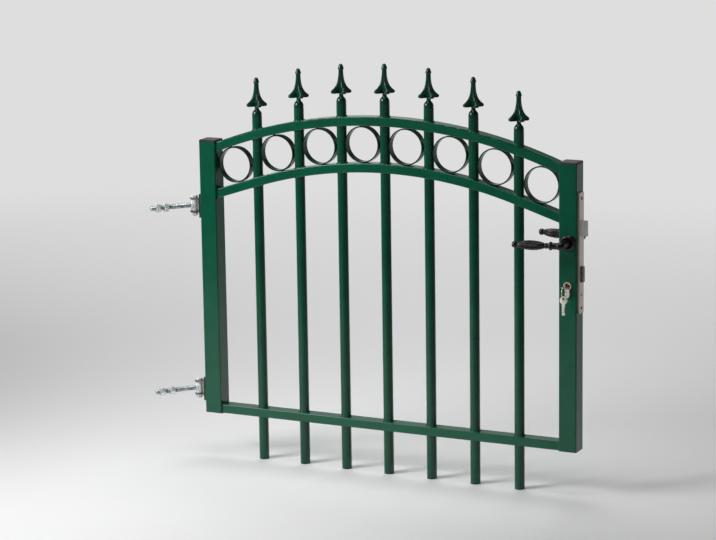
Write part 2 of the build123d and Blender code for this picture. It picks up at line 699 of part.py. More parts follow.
def lever(side):
    """One lever: its arm leans out from the leaf and its neck widens from the elbow to the rosette."""
    groove, ball_mid, groove_share, ball_share = LEVER_BALL_SHARES
    arm = turned(LEVER_NECK_SHARES) + fluted_grip()
    arm += turned([(groove, groove_share), (ball_mid, groove_share)])
    arm += Pos(ball_mid * LEVER_REACH) * Sphere(ball_share * LEVER_RADIUS)
    arm = Rot(0, 0, 180 - side * LEVER_SPLAY) * arm
    neck = Cone(
        NECK_DIAMETER / 2,
        ELBOW_RADIUS,
        LEVER_STAND_OFF - NECK_CLEARANCE,
        align=(Align.CENTER, Align.CENTER, Align.MAX),
    )
    neck = Rot(-90 * side, 0, 0) * neck
    body = arm + neck + Sphere(ELBOW_RADIUS)
    return Pos(LOCK_X, side * (STILE_DEPTH / 2 + LEVER_STAND_OFF), SPINDLE_HEIGHT) * body


def spindle(clearance):
    reach = STILE_DEPTH / 2 + SPINDLE_SOCKET + clearance
    side = SPINDLE_SIDE + 2 * clearance
    return Pos(LOCK_X, 0, SPINDLE_HEIGHT) * Box(side, 2 * reach, side)


nodes["rosettes"] = Compound([rosette(-1), rosette(1)])
nodes["front_lever"] = lever(-1) - spindle(SPINDLE_CLEARANCE)
nodes["back_lever"] = lever(1) - spindle(SPINDLE_CLEARANCE)
nodes["spindle"] = spindle(0)

os.makedirs("parts", exist_ok=True)
for name, shape in nodes.items():
    export_step(Pos(-ORIGIN.X, -ORIGIN.Y, -ORIGIN.Z) * shape, f"parts/{name}.step")
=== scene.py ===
import json
from math import asin, atan2, cos, degrees, pi, radians, sin, sqrt, tau

import bmesh
import bpy
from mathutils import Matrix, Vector


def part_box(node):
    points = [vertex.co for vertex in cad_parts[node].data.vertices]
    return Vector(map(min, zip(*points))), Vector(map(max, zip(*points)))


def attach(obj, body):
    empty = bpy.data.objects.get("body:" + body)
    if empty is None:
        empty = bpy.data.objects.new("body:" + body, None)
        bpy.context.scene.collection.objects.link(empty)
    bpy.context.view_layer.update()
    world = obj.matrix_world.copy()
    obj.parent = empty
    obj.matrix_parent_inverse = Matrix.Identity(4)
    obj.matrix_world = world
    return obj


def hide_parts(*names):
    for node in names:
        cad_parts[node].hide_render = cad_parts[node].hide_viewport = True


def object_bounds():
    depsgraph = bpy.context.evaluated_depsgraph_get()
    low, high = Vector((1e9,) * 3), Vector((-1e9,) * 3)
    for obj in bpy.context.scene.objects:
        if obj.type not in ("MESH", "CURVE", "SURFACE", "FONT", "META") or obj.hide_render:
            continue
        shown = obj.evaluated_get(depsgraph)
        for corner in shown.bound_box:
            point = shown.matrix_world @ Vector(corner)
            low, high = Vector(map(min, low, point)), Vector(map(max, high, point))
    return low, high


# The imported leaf: its bodies and plain solids, on which every piece below is placed.
# The datum is the middle of the leaf's width and depth, at the foot of its stiles.
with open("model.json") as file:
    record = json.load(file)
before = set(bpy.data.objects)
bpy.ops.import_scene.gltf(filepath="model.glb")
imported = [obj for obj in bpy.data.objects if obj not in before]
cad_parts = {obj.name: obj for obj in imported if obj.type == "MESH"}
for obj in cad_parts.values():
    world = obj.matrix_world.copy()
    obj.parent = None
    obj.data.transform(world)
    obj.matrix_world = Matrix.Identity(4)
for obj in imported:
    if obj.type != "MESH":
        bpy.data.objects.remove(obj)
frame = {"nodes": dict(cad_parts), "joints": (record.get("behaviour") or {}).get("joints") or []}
cad_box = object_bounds()
nodes = frame["nodes"]
hinge_low, hinge_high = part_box("hinge_stile")
lock_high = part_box("lock_stile")[1]
leaf_x = (hinge_low.x + lock_high.x) / 2
leaf_y = (hinge_low.y + hinge_high.y) / 2
leaf_foot = hinge_low.z
stile_half = (hinge_high.y - hinge_low.y) / 2


# Stiles: two upright square tubes with rolled corners, powder coated in a glossy dark green.
# The coat is thick enough to show a slight orange peel and small runs of deeper colour.
def new_finish(name):
    """Makes an empty node material and returns it with its tree and its principled shader."""
    material = bpy.data.materials.new(name)
    material.use_nodes = True
    tree = material.node_tree
    tree.nodes.clear()
    output = tree.nodes.new("ShaderNodeOutputMaterial")
    shader = tree.nodes.new("ShaderNodeBsdfPrincipled")
    tree.links.new(shader.outputs["BSDF"], output.inputs["Surface"])
    return material, tree, shader


def object_noise(tree, scale, detail, stretch=(1, 1, 1)):
    """Noise on Object coordinates: scale is in cells a metre, stretched by a mapping."""
    coordinates = tree.nodes.new("ShaderNodeTexCoord")
    mapping = tree.nodes.new("ShaderNodeMapping")
    mapping.inputs["Scale"].default_value = stretch
    noise = tree.nodes.new("ShaderNodeTexNoise")
    noise.inputs["Scale"].default_value = scale
    noise.inputs["Detail"].default_value = detail
    tree.links.new(coordinates.outputs["Object"], mapping.inputs["Vector"])
    tree.links.new(mapping.outputs["Vector"], noise.inputs["Vector"])
    return noise.outputs["Fac"]


def blended_colour(tree, factor, low, high):
    """Runs a noise value through a ramp between two colours."""
    ramp = tree.nodes.new("ShaderNodeValToRGB")
    ramp.color_ramp.elements[0].position = 0.35
    ramp.color_ramp.elements[0].color = (*low, 1)
    ramp.color_ramp.elements[1].position = 0.65
    ramp.color_ramp.elements[1].color = (*high, 1)
    tree.links.new(factor, ramp.inputs["Fac"])
    return ramp.outputs["Color"]


def ranged(tree, factor, low, high):
    """Maps a noise value to a range, for roughness."""
    span = tree.nodes.new("ShaderNodeMapRange")
    span.inputs["From Min"].default_value = 0.3
    span.inputs["From Max"].default_value = 0.7
    span.inputs["To Min"].default_value = low
    span.inputs["To Max"].default_value = high
    tree.links.new(factor, span.inputs["Value"])
    return span.outputs["Result"]


def bumped(tree, shader, heights):
    """Chains bumps of (noise value, strength, depth in metres) into the shader's normal."""
    normal = None
    for height, strength, depth in heights:
        bump = tree.nodes.new("ShaderNodeBump")
        bump.inputs["Strength"].default_value = strength
        bump.inputs["Distance"].default_value = depth
        tree.links.new(height, bump.inputs["Height"])
        if normal:
            tree.links.new(normal, bump.inputs["Normal"])
        normal = bump.outputs["Normal"]
    tree.links.new(normal, shader.inputs["Normal"])


def green_powder_coat(name, deep, pale):
    """The green coat between two shades, with a slow swell and a fine peel in its gloss."""
    material, tree, shader = new_finish(name)
    shade = object_noise(tree, 14, 3)
    tree.links.new(blended_colour(tree, shade, deep, pale), shader.inputs["Base Color"])
    shader.inputs["Specular IOR Level"].default_value = 0.42
    sheen = object_noise(tree, 45, 2)
    tree.links.new(ranged(tree, sheen, 0.10, 0.17), shader.inputs["Roughness"])
    swell = object_noise(tree, 90, 2)
    peel = object_noise(tree, 420, 2)
    bumped(tree, shader, [(swell, 0.12, 0.0012), (peel, 0.22, 0.0004)])
    return material


def dress(material, *names):
    """Gives carried-over solids a finish in their own material slots."""
    for name in names:
        solid = nodes[name]
        if not solid.material_slots:
            solid.data.materials.append(material)
        for place in solid.material_slots:
            place.material = material


green_coat = green_powder_coat("green_powder_coat", (0.0004, 0.078, 0.038), (0.0008, 0.094, 0.047))
dress(green_coat, "hinge_stile", "lock_stile")


# Stile caps: moulded black plastic covers pushed into the open tube ends.
# The mould leaves a fine even grain and a satin surface.
def mottled_finish(name, mottle, shades, rough, grain, relief, metal=0.0):
    """A finish whose tone and roughness drift with one noise and whose fine relief comes from another.

    The mottle and the grain are noises of (cells a metre, detail, stretch), the shades and the roughness
    go from low to high, and the relief is (strength, depth in metres).
    """
    material, tree, shader = new_finish(name)
    drift = object_noise(tree, *mottle)
    tree.links.new(blended_colour(tree, drift, *shades), shader.inputs["Base Color"])
    shader.inputs["Metallic"].default_value = metal
    tree.links.new(ranged(tree, drift, *rough), shader.inputs["Roughness"])
    bumped(tree, shader, [(object_noise(tree, *grain), *relief)])
    return material


black_plastic = mottled_finish(
    "moulded_black",
    mottle=(60, 3),
    shades=((0.010, 0.010, 0.011), (0.018, 0.018, 0.019)),
    rough=(0.38, 0.50),
    grain=(1600, 2),
    relief=(0.25, 0.0002),
)
dress(black_plastic, "stile_caps")

# Bottom rail and the two arches: lighter rectangular tube, the arches bent on edge to nested curves.
# The lower one runs straight beyond its outermost pickets. Their ends are welded to the stiles' inner
# faces all round and coated with the rest of the leaf.
dress(green_coat, "bottom_rail", "lower_arch", "upper_arch")
RAIL_HEIGHT = 0.020
RAIL_DEPTH = 0.030
ARCH_RISE = 0.077
OUTER_PICKET = 0.312
END_WELD = 0.0013
END_BITE = 0.0004
END_ROUND = 0.0004
END_CUTS = 5
END_RIPPLE = 0.0005
arch_low, arch_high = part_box("upper_arch")
half_span = (arch_high.x - arch_low.x) / 2
arch_radius = (half_span**2 + ARCH_RISE**2) / (2 * ARCH_RISE)
arch_centre = arch_high.z - arch_radius
lower_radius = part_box("lower_arch")[1].z - arch_centre
upper_middle = arch_radius - RAIL_HEIGHT / 2
lower_middle = lower_radius - RAIL_HEIGHT / 2
lower_bend = asin(OUTER_PICKET / lower_middle)


def pick(piece):
    """Makes this piece the active one and the only one selected."""
    bpy.ops.object.select_all(action="DESELECT")
    bpy.context.view_layer.objects.active = piece
    piece.select_set(True)


def chosen(piece, test, kind="verts"):
    """Selects only the vertices, edges or faces of the piece in edit mode that pass a test."""
    bpy.ops.mesh.select_all(action="DESELECT")
    work = bmesh.from_edit_mesh(piece.data)
    for part in getattr(work, kind):
        part.select_set(bool(test(part)))
    work.select_flush_mode()
    bmesh.update_edit_mesh(piece.data)


def settle(piece, location=(0, 0, 0), turn=(0, 0, 0)):
    """Puts a finished piece in its place and leaves that place in its mesh."""
    pick(piece)
    piece.location = location
    piece.rotation_euler = turn
    bpy.ops.object.transform_apply(location=True, rotation=True, scale=True)
    return piece


def apply_modifier(piece, kind, **settings):
    """Adds a modifier with these settings and applies it to the piece's mesh."""
    pick(piece)
    bpy.ops.object.modifier_add(type=kind)
    added = piece.modifiers[-1]
    for setting, value in settings.items():
        setattr(added, setting, value)
    bpy.ops.object.modifier_apply(modifier=added.name)
    return piece


def joined(name, parts):
    """Joins parts into one piece with this name."""
    bpy.ops.object.select_all(action="DESELECT")
    for part in parts:
        part.select_set(True)
    bpy.context.view_layer.objects.active = parts[0]
    if len(parts) > 1:
        bpy.ops.object.join()
    parts[0].name = name
    return parts[0]


def smoothed(piece, angle=35):
    """Shades the piece smooth, apart from edges sharper than the angle in degrees."""
    pick(piece)
    bpy.ops.object.shade_smooth_by_angle(angle=radians(angle))
    return piece


def finished(piece, material, body, slot, *replaced):
    """Gives a new piece its finish and its body, and hides the solids that it stands for; the slot is not
    used.
    """
    piece.data.materials.clear()
    piece.data.materials.append(material)
    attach(piece, body)
    if replaced:
        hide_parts(*replaced)
    return piece


weld_ripple = bpy.data.textures.new("weld_ripple", "CLOUDS")
weld_ripple.noise_scale = 0.003


def rippled(piece, height):
    """Roughens a weld as the puddle leaves it."""
    return apply_modifier(
        piece, "DISPLACE", texture=weld_ripple, strength=height, mid_level=0.5, texture_coords="GLOBAL"
    )


def end_weld(side, middle_z, slope):
    """The fillet weld round one tube end: a block drawn in towards the tube on its outer face."""
    tall = RAIL_HEIGHT / cos(slope)
    bpy.ops.object.select_all(action="DESELECT")
    bpy.ops.mesh.primitive_cube_add(size=1, enter_editmode=True, location=(0, 0, 0))
    collar = bpy.context.object
    bpy.ops.transform.resize(value=(END_WELD, RAIL_DEPTH + 2 * END_WELD, tall + 2 * END_WELD))
    chosen(collar, lambda face: face.normal.x * side < -0.9, "faces")
    narrow = (RAIL_DEPTH + 2 * END_BITE) / (RAIL_DEPTH + 2 * END_WELD)
    low = (tall + 2 * END_BITE) / (tall + 2 * END_WELD)
    bpy.ops.transform.resize(value=(1, narrow, low))
    bpy.ops.transform.translate(value=(0, 0, END_WELD * sin(slope)))
    bpy.ops.mesh.select_all(action="SELECT")
    bpy.ops.mesh.bevel(offset=END_ROUND, segments=2, affect="EDGES")
    bpy.ops.mesh.select_all(action="SELECT")
    bpy.ops.mesh.subdivide(number_cuts=END_CUTS)
    bpy.ops.object.mode_set(mode="OBJECT")
    settle(collar, (leaf_x + side * (half_span - END_WELD / 2), leaf_y, middle_z))
    return rippled(collar, END_RIPPLE)


upper_end = arch_centre + sqrt(upper_middle**2 - half_span**2)
lower_end = arch_centre + (lower_middle - half_span * sin(lower_bend)) / cos(lower_bend)
end_welds = []
for side in (-1, 1):
    end_welds.append(end_weld(side, leaf_foot + RAIL_HEIGHT / 2, 0))
    end_welds.append(end_weld(side, upper_end, asin(half_span / upper_middle)))
    end_welds.append(end_weld(side, lower_end, lower_bend))
finished(smoothed(joined("end_welds", end_welds), 50), green_coat, "leaf", "green_paint")

# Pickets: round tubes pushed through holes in the rail and the arches and welded round at each.
# A narrow bead stands at every pass, tilted with the arch. The tubes get a darker copy of the coat, painted
# shade for their shaded round sides.
PICKETS = 7
PICKET_RADIUS = 0.011
BEAD = 0.0019
BEAD_STAND = 0.35
BEAD_FLATTENED = 0.85
BEAD_RIPPLE = 0.0011
picket_nodes = [f"picket_{i}" for i in range(1, PICKETS + 1)]
# The pickets' coat is the green darkened as painted shade, for the deeper shading on their round sides.
picket_coat = green_powder_coat("picket_coat", (0.0004, 0.060, 0.030), (0.0008, 0.076, 0.038))
dress(picket_coat, *picket_nodes)


def picket_bead(x, z, tilt):
    """One weld bead round a picket, stretched to the oval in which it passes a tilted tube."""
    bpy.ops.object.select_all(action="DESELECT")
    bpy.ops.mesh.primitive_torus_add(
        major_radius=PICKET_RADIUS + BEAD * BEAD_STAND, minor_radius=BEAD, major_segments=36, minor_segments=10
    )
    bead = bpy.context.object
    bead.scale = (1 / cos(tilt), 1, BEAD_FLATTENED)
    settle(bead, (x, leaf_y, z), (0, tilt, 0))
    return rippled(bead, BEAD_RIPPLE)


picket_xs = [(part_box(name)[0].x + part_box(name)[1].x) / 2 for name in picket_nodes]
beads = []
for x in picket_xs:
    across = x - leaf_x
    for height in (0, RAIL_HEIGHT):
        beads.append(picket_bead(x, leaf_foot + height, 0))
    for radius in (arch_radius, arch_radius - RAIL_HEIGHT, lower_radius, lower_radius - RAIL_HEIGHT):
        beads.append(picket_bead(x, arch_centre + sqrt(radius**2 - across**2), asin(across / radius)))
finished(smoothed(joined("picket_welds", beads), 60), green_coat, "leaf", "green_paint")

# Picket plugs: black plastic stoppers that close the tubes' lower ends.
# They are of the same moulding as the stile caps.
dress(black_plastic, "picket_plugs")

# Finials: small iron castings that sit on the pickets, each a bud on a shaft with four leaves.
# The leaves swell out of the shaft at the diagonals and curl out over a thin neck and a domed ferrule,
# and they get a darker copy of the coat, painted shade for the deep shading in their leaves and recesses.
FINIAL_SEGMENTS = 24
BUD = [(0, 0), (0.0022, -0.0004), (0.0041, -0.0022), (0.0052, -0.0050), (0.0057, -0.0078)]
BUD_COLLAR = [(0.0066, -0.0090), (0.0068, -0.0104), (0.0062, -0.0118), (0.0051, -0.0128)]
# Each leaf section: depth below the tip, radius of the leaf's crown and of the valleys between leaves
LEAF_SHAFT = [
    (-0.0200, 0.0053, 0.0050),
    (-0.0290, 0.0063, 0.0052),
    (-0.0370, 0.0078, 0.0055),
    (-0.0440, 0.0101, 0.0058),
]
LEAF_FLARE = [
    (-0.0500, 0.0134, 0.0060),
    (-0.0545, 0.0174, 0.0060),
    (-0.0575, 0.0214, 0.0058),
    (-0.0592, 0.0238, 0.0056),
]
LEAF_LIP = (-0.0630, 0.0241, 0.0053)
LEAF_UNDER = [(-0.0652, 0.0205, 0.0051), (-0.0628, 0.0140, 0.0050), (-0.0585, 0.0098, 0.0048)]
NECK = [(0.0046, -0.0605), (0.0045, -0.0670), (0.0051, -0.0718)]
FERRULE = [
    (0.0076, -0.0736),
    (0.0096, -0.0762),
    (0.0108, -0.0795),
    (0.0112, -0.0826),
    (0.0110, -0.0850),
    (0, -0.0850),
]
# Degrees round from a valley, and the share of the valley's radius to which the casting is pressed there
VALLEY_PRESSES = ((0, 1), (15, 1.12))
LEAF_EDGE = 30
LEAF_EDGE_LIFT = 0.0009
ANGLE_TOLERANCE = 4
SAME_HEIGHT = 0.00002


def drawn_profile(points):
    """Starts a piece from one point and extrudes it along a profile of (radius, height) in edit mode."""
    bpy.ops.object.select_all(action="DESELECT")
    bpy.ops.mesh.primitive_plane_add(size=0.001, enter_editmode=True, location=(0, 0, 0))
    bpy.ops.mesh.merge(type="CENTER")
    radius, height = points[0]
    bpy.ops.transform.translate(value=(radius, 0, height))
    for (r0, z0), (r1, z1) in zip(points, points[1:]):
        bpy.ops.mesh.extrude_region_move(TRANSFORM_OT_translate={"value": (r1 - r0, 0, z1 - z0)})
    return bpy.context.object


def spun(name, points, segments):
    """Spins a drawn profile once round Z and closes it, still in edit mode."""
    piece = drawn_profile(points)
    bpy.ops.mesh.select_all(action="SELECT")
    bpy.ops.mesh.spin(steps=segments, angle=tau, center=(0, 0, 0), axis=(0, 0, 1))
    bpy.ops.mesh.select_all(action="SELECT")
    bpy.ops.mesh.remove_doubles(threshold=0.000002)
    bpy.ops.mesh.normals_make_consistent(inside=False)
    piece.name = name
    return piece


def turned(name, points, segments=32):
    """A turned piece from a profile of (radius, height)."""
    piece = spun(name, points, segments)
    bpy.ops.object.mode_set(mode="OBJECT")
    return piece


def quarter_angle(vert):
    """How far round a vertex lies from the nearest valley between two leaves, in degrees."""
    angle = degrees(atan2(vert.co.y, vert.co.x)) % 90
    return min(angle, 90 - angle)


def cast_finial():
    """A finial with its tip at the origin: a turned blank whose flare is pressed into four leaves."""
    leaves = [*LEAF_SHAFT, *LEAF_FLARE, LEAF_LIP, *LEAF_UNDER]
    profile = [*BUD, *BUD_COLLAR, *[(crown, z) for z, crown, _ in leaves], *NECK, *FERRULE]
    finial = spun("cast_finial", profile, FINIAL_SEGMENTS)

    def choose(z, angle):
        chosen(
            finial,
            lambda v: abs(v.co.z - z) < SAME_HEIGHT and abs(quarter_angle(v) - angle) < ANGLE_TOLERANCE,
        )

    for z, crown, valley in leaves:
        for angle, share in VALLEY_PRESSES:
            choose(z, angle)
            pull = valley * share / crown
            bpy.ops.transform.resize(value=(pull, pull, 1), center_override=(0, 0, z))
    for z, _, _ in LEAF_FLARE:
        choose(z, LEAF_EDGE)
        bpy.ops.transform.translate(value=(0, 0, LEAF_EDGE_LIFT))
    bpy.ops.object.mode_set(mode="OBJECT")
    apply_modifier(finial, "SUBSURF", levels=2, render_levels=2)
    return smoothed(finial, 70)


# The finials' coat is the green darkened as painted shade, for the shading in their leaves and recesses.
casting_coat = green_powder_coat("casting_coat", (0.0006, 0.036, 0.018), (0.0012, 0.052, 0.026))
first_finial = cast_finial()
for i, x in enumerate(picket_xs, start=1):
    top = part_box(f"finial_{i}")[1].z
    pick(first_finial)
    bpy.ops.object.duplicate()
    finial = bpy.context.object
    finial.name = f"cast_finial_{i}"
    settle(finial, (x, leaf_y, top))
    finished(finial, casting_coat, "leaf", "green_paint", f"finial_{i}")
bpy.data.objects.remove(first_finial)

# Rings: flat bar rolled on the flat and closed, tacked to the arches above and below and to the pickets.
# Their coat is the green darkened as painted shade, for the shade between the arches. Each tack is a small
# flattened blob of weld under it, and the end rings stand clear of the stiles.
RINGS = 8
RING_HEADROOM = 0.0013
RING_SIDE_GAP = 0.0008
RING_TO_STILE = 0.005
TACK = (0.0030, 0.0052, 0.0016)
TACK_RIPPLE = 0.0009
ring_nodes = [f"ring_{i}" for i in range(1, RINGS + 1)]
# The rings and their tacks get a darker copy of the green coat: painted shade for the shade between the
# arches.
ring_painted_shade_coat = green_powder_coat("thin_green_coat", (0.0010, 0.026, 0.014), (0.0016, 0.034, 0.019))
dress(ring_painted_shade_coat, *ring_nodes)


def tack(x, z, turn):
    """A blob of weld on a ring's rim, turned to lie along it."""
    bpy.ops.object.select_all(action="DESELECT")
    bpy.ops.mesh.primitive_uv_sphere_add(segments=14, ring_count=8, radius=1)
    blob = bpy.context.object
    blob.scale = TACK
    settle(blob, (x, leaf_y, z), (0, turn, 0))
    return rippled(blob, TACK_RIPPLE)


tacks = []
for name in ring_nodes:
    low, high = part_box(name)
    x, z, radius = (low.x + high.x) / 2, (low.z + high.z) / 2, (high.x - low.x) / 2
    lean = atan2(x - leaf_x, z - arch_centre)
    contacts = ((lean, RING_HEADROOM), (lean + pi, 0), (-pi / 2, RING_SIDE_GAP), (pi / 2, RING_SIDE_GAP))
    for turn, gap in contacts:
        reach = radius + gap / 2
        blob_x = x + reach * sin(turn)
        if half_span - abs(blob_x - leaf_x) > RING_TO_STILE:
            tacks.append(tack(blob_x, z + reach * cos(turn), turn))
finished(smoothed(joined("ring_tacks", tacks), 70), ring_painted_shade_coat, "leaf", "green_paint")

# Hinge pads: thick steel blocks welded to the hinge stile, with the leaf's coat darkened as painted shade for
# the gap behind the barrel.
# The zinc-plated brackets and bolts are fixed to them after coating.
# Near-black green: painted shade for the dark gap between the hinge barrel and the stile.
pad_painted_shade_coat = mottled_finish(
    "shaded_pad",
    mottle=(70, 3),
    shades=((0.004, 0.012, 0.009), (0.006, 0.022, 0.015)),
    rough=(0.35, 0.50),
    grain=(420, 2),
    relief=(0.15, 0.0004),
)
dress(pad_painted_shade_coat, "upper_hinge_pad", "lower_hinge_pad")


# Hinge brackets: bent steel strap with two lugs, in zinc plate darkened as painted shade for the gap between
# barrel and stile.
# The plating has soft cloudy patches and faint rubbing marks; on the eyes and pins it is bluish white.
def zinc_plating(name, dull, bright, metal):
    """Zinc plate between two tones, with fine rubbing marks that run upright."""
    return mottled_finish(
        name,
        mottle=(130, 4),
        shades=(dull, bright),
        rough=(0.20, 0.34),
        grain=(900, 2, (1, 1, 0.15)),
        relief=(0.08, 0.0002),
        metal=metal,
    )


# The brackets' zinc is much darker than the other plating: painted shade for the shaded gap by the stile.
bracket_painted_shade_zinc = zinc_plating("dulled_zinc", (0.16, 0.17, 0.17), (0.30, 0.31, 0.31), 0.9)
dress(bracket_painted_shade_zinc, "upper_hinge_bracket", "lower_hinge_bracket")

# Eye bolts: a turned barrel with a threaded rod welded into its side, zinc plated.
# The thread is cut to the rod's chamfered end and stops short of the barrel.
ROD_TURN = radians(51)
ROD_REACH = 0.106
ROD_RADIUS = 0.0055
ROD_ROOT = 0.002
ROD_SEGMENTS = 28
ROD_CHAMFER = (0.0013, 0.0011)
THREAD_ROOT = 0.0050
THREAD_PITCH = 0.00125
THREAD_START = 0.0150
THREAD_END = 0.0012
THREAD_RUN_OUT = 0.0009
THREAD_STEPS = 20
# Shares of the pitch at which a ridge's crest begins and ends and its flank reaches the root
CREST_START, CREST_END, FLANK_END = 0.36, 0.50, 0.86
EYE_RADIUS = 0.008
EYE_HALF = 0.013
EYE_BEVEL = 0.0008
BORE_RADIUS = 0.0042
ROOT_BEAD = 0.0020
ROOT_BEAD_STAND = 0.0004
ROOT_RIPPLE = 0.0010
hinge_joint = next(joint for joint in frame["joints"] if joint["name"] == "gate_swing")
hinge_x, hinge_y, _ = hinge_joint["pos_m"]
rod_way = Vector((-cos(ROD_TURN), -sin(ROD_TURN), 0))
satin_zinc = zinc_plating("satin_zinc", (0.90, 0.91, 0.92), (0.96, 0.96, 0.96), 0.2)
thread_zinc = zinc_plating("threaded_zinc", (0.32, 0.37, 0.38), (0.48, 0.54, 0.54), 0.5)


def threaded_rod():
    """A helical thread from the shank to the rod's chamfered end, with the shank and the end closed on it."""
    threaded = ROD_REACH - THREAD_END - THREAD_START
    turns = int(threaded / THREAD_PITCH)
    pitch = threaded / turns
    ridge = [
        (THREAD_ROOT, 0),
        (ROD_RADIUS, pitch * CREST_START),
        (ROD_RADIUS, pitch * CREST_END),
        (THREAD_ROOT, pitch * FLANK_END),
        (THREAD_ROOT, pitch),
    ]
    helix = drawn_profile(ridge)
    bpy.ops.object.mode_set(mode="OBJECT")
    apply_modifier(
        helix, "SCREW", screw_offset=pitch, iterations=turns - 1, steps=THREAD_STEPS, render_steps=THREAD_STEPS
    )
    bpy.ops.object.mode_set(mode="EDIT")
    bpy.ops.mesh.select_all(action="SELECT")
    bpy.ops.mesh.remove_doubles(threshold=0.000005)
    bpy.ops.mesh.fill_holes(sides=0)
    bpy.ops.mesh.select_all(action="SELECT")
    bpy.ops.mesh.normals_make_consistent(inside=False)
    bpy.ops.object.mode_set(mode="OBJECT")
    settle(helix, (0, 0, THREAD_START))
    shank_end = THREAD_START + pitch
    shank = turned(
        "shank",
        [
            (0, ROD_ROOT),
            (ROD_RADIUS, ROD_ROOT),
            (ROD_RADIUS, shank_end - THREAD_RUN_OUT),
            (THREAD_ROOT, shank_end),
            (0, shank_end),
        ],
        ROD_SEGMENTS,
    )
    tip_base = ROD_REACH - 2 * THREAD_PITCH
    chamfer_in, chamfer_back = ROD_CHAMFER
    tip = turned(
        "tip",
        [
            (0, tip_base),
            (THREAD_ROOT, tip_base),
            (THREAD_ROOT, ROD_REACH - chamfer_back),
            (THREAD_ROOT - chamfer_in, ROD_REACH),
            (0, ROD_REACH),
        ],
        ROD_SEGMENTS,
    )
    return joined("rod", [helix, shank, tip])


def along_rod(piece, distance, start=(0, 0, 0)):
    """Turns a piece from Z into the rod's way and sets it that far out from the start."""
    settle(piece, (0, 0, 0), (0, pi / 2, 0))
    return settle(piece, Vector(start) + rod_way * distance, (0, 0, atan2(rod_way.y, rod_way.x)))


def eye_bolt(name, height):
    """The eye with the weld at the rod's root, and the rod, as two pieces."""
    barrel = turned(
        "barrel",
        [
            (BORE_RADIUS, -EYE_HALF + EYE_BEVEL),
            (BORE_RADIUS + EYE_BEVEL, -EYE_HALF),
            (EYE_RADIUS - EYE_BEVEL, -EYE_HALF),
            (EYE_RADIUS, -EYE_HALF + EYE_BEVEL),
            (EYE_RADIUS, EYE_HALF - EYE_BEVEL),
            (EYE_RADIUS - EYE_BEVEL, EYE_HALF),
            (BORE_RADIUS + EYE_BEVEL, EYE_HALF),
            (BORE_RADIUS, EYE_HALF - EYE_BEVEL),
            (BORE_RADIUS, -EYE_HALF + EYE_BEVEL),
        ],
        48,
    )
    rod = along_rod(threaded_rod(), 0)
    bpy.ops.object.select_all(action="DESELECT")
    bpy.ops.mesh.primitive_torus_add(
        major_radius=ROD_RADIUS + ROOT_BEAD_STAND, minor_radius=ROOT_BEAD, major_segments=32, minor_segments=10
    )
    root_weld = along_rod(bpy.context.object, EYE_RADIUS - ROOT_BEAD_STAND)
    rippled(root_weld, ROOT_RIPPLE)
    place = (hinge_x, hinge_y, height)
    eye = smoothed(settle(joined(f"{name}_eye", [barrel, root_weld]), place), 40)
    rod.name = f"{name}_rod"
    return eye, smoothed(settle(rod, place), 40)


hinge_heights = {}
for which in ("upper", "lower"):
    low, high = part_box(f"{which}_eye_bolt")
    hinge_heights[which] = (low.z + high.z) / 2
    eye, rod = eye_bolt(which, hinge_heights[which])
    finished(eye, satin_zinc, "post_bolts", "zinc", f"{which}_eye_bolt")
    finished(rod, thread_zinc, "post_bolts", "zinc")

# Post nuts: two plated hexagon nuts on each rod, chamfered on both faces, to clamp the post's wall.
# Each is cut from a hexagon by the cone that rounds off its corners, then bored.
NUT_FLATS = 0.018
NUT_HEIGHT = 0.010
NUT_CLEARANCE = 0.0002
NUT_BEVEL = 0.00025
# Where each rod's inner nut ends against the post, and the gap to its outer nut
NUT_SEATS = {"upper": (0.074, 0.0095), "lower": (0.072, 0.013)}
# A hexagon's chamfer: its face's share of the flats, its drop as a share of the corner, the cone's overhang
CHAMFER_FACE, CHAMFER_DROP, CHAMFER_OVER = 0.97, 0.115, 1.02
# The countersink at each end of a bore: how much wider, how far past the face and how deep
SINK_WIDER, SINK_PAST, SINK_DEPTH = 0.0016, 0.001, 0.0006
SHARP_EDGE = radians(25)


def boolean(piece, tool, operation):
    """Cuts or joins a piece with a tool, which is then removed."""
    apply_modifier(piece, "BOOLEAN", object=tool, operation=operation, solver="EXACT")
    bpy.data.objects.remove(tool)
    return piece


def hexagon_blank(flats, height, both_ends=True):
    """A hexagon standing on Z with its corners rounded off above, and below too for a nut."""
    corner = flats / sqrt(3)
    bpy.ops.object.select_all(action="DESELECT")
    bpy.ops.mesh.primitive_cylinder_add(vertices=6, radius=corner, depth=height, location=(0, 0, height / 2))
    blank = settle(bpy.context.object, (0, 0, height / 2))
    face, drop, over = flats / 2 * CHAMFER_FACE, corner * CHAMFER_DROP, corner * CHAMFER_OVER
    low = [(0, 0), (face, 0), (over, drop)] if both_ends else [(0, 0), (over, 0)]
    cone = turned("corner_cone", [*low, (over, height - drop), (face, height), (0, height)], 48)
    return boolean(blank, cone, "INTERSECT")


def bored(piece, radius, height):
    """Bores a piece that stands on Z, countersunk at both ends."""
    bore = turned(
        "bore",
        [
            (0, -SINK_PAST),
            (radius + SINK_WIDER, -SINK_PAST),
            (radius, SINK_DEPTH),
            (radius, height - SINK_DEPTH),
            (radius + SINK_WIDER, height + SINK_PAST),
            (0, height + SINK_PAST),
        ],
        32,
    )
    return boolean(piece, bore, "DIFFERENCE")


def bevelled(piece, width, angle):
    """Rounds off the edges that are sharper than the angle."""
    return apply_modifier(piece, "BEVEL", width=width, segments=2, limit_method="ANGLE", angle_limit=angle)


